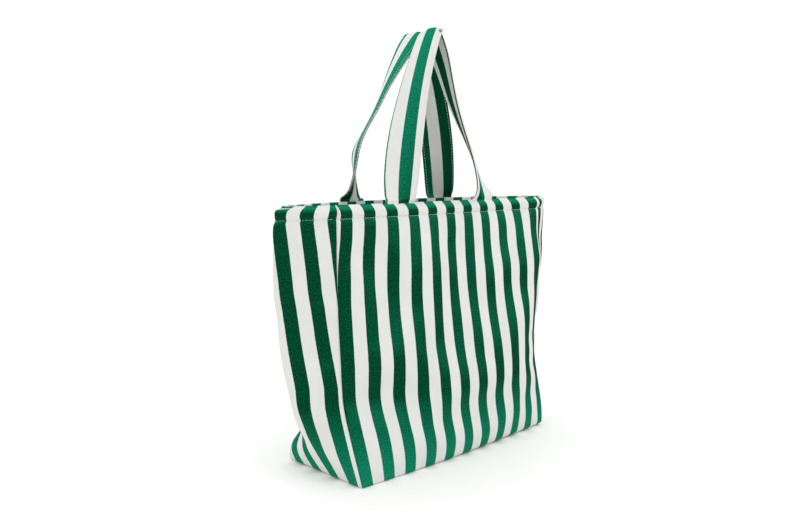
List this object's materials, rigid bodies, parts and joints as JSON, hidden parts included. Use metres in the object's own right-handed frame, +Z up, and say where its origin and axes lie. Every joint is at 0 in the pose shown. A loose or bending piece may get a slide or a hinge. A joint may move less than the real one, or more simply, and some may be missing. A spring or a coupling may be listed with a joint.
{
  "type": "tote bag",
  "caption": "Open-topped striped canvas tote with a flat rectangular base, pinched side gussets, a stitched hem, a lining and paired carrying handles that fold outwards.",
  "frame": {"origin": "middle of the flat base, on the floor", "axes": "+X along the bag's width to the right, -Y to the front, +Z up"},
  "size_m": [0.6418, 0.2073, 0.7173],
  "materials": {
    "striped_canvas": "woven canvas with printed green and white stripes, matte",
    "strap_canvas": "folded striped canvas strap, matte",
    "cotton_lining": "plain off-white cotton, matte",
    "hem_wadding": "soft white wadding",
    "sewing_thread": "polyester sewing thread, slight sheen",
    "stiff_board": "grey fibre board, matte"
  },
  "bodies": {
    "bag": {"front_panel": "striped_canvas", "right_gusset": "striped_canvas", "back_panel": "striped_canvas", "left_gusset": "striped_canvas", "base_panel": "striped_canvas", "front_facing": "striped_canvas", "right_facing": "striped_canvas", "back_facing": "striped_canvas", "left_facing": "striped_canvas", "front_lining": "cotton_lining", "right_lining": "cotton_lining", "back_lining": "cotton_lining", "left_lining": "cotton_lining", "base_lining": "cotton_lining", "base_board": "stiff_board", "hem_padding": "hem_wadding", "hem_stitching": "sewing_thread", "slip_pocket": "cotton_lining", "front_handle_ends": "strap_canvas", "back_handle_ends": "strap_canvas"},
    "front_handle": {"front_handle": "strap_canvas"},
    "back_handle": {"back_handle": "strap_canvas"}
  },
  "joints": [
    {"name": "front_handle_fold", "type": "hinge", "parent": "bag", "child": "front_handle", "pos_m": [0, -0.0488, 0.432], "axis": [0.9988, -0.0486, 0], "range_deg": [0, 160]},
    {"name": "back_handle_fold", "type": "hinge", "parent": "bag", "child": "back_handle", "pos_m": [-0.006, 0.0621, 0.432], "axis": [-1, 0, 0], "range_deg": [0, 160]}
  ]
}
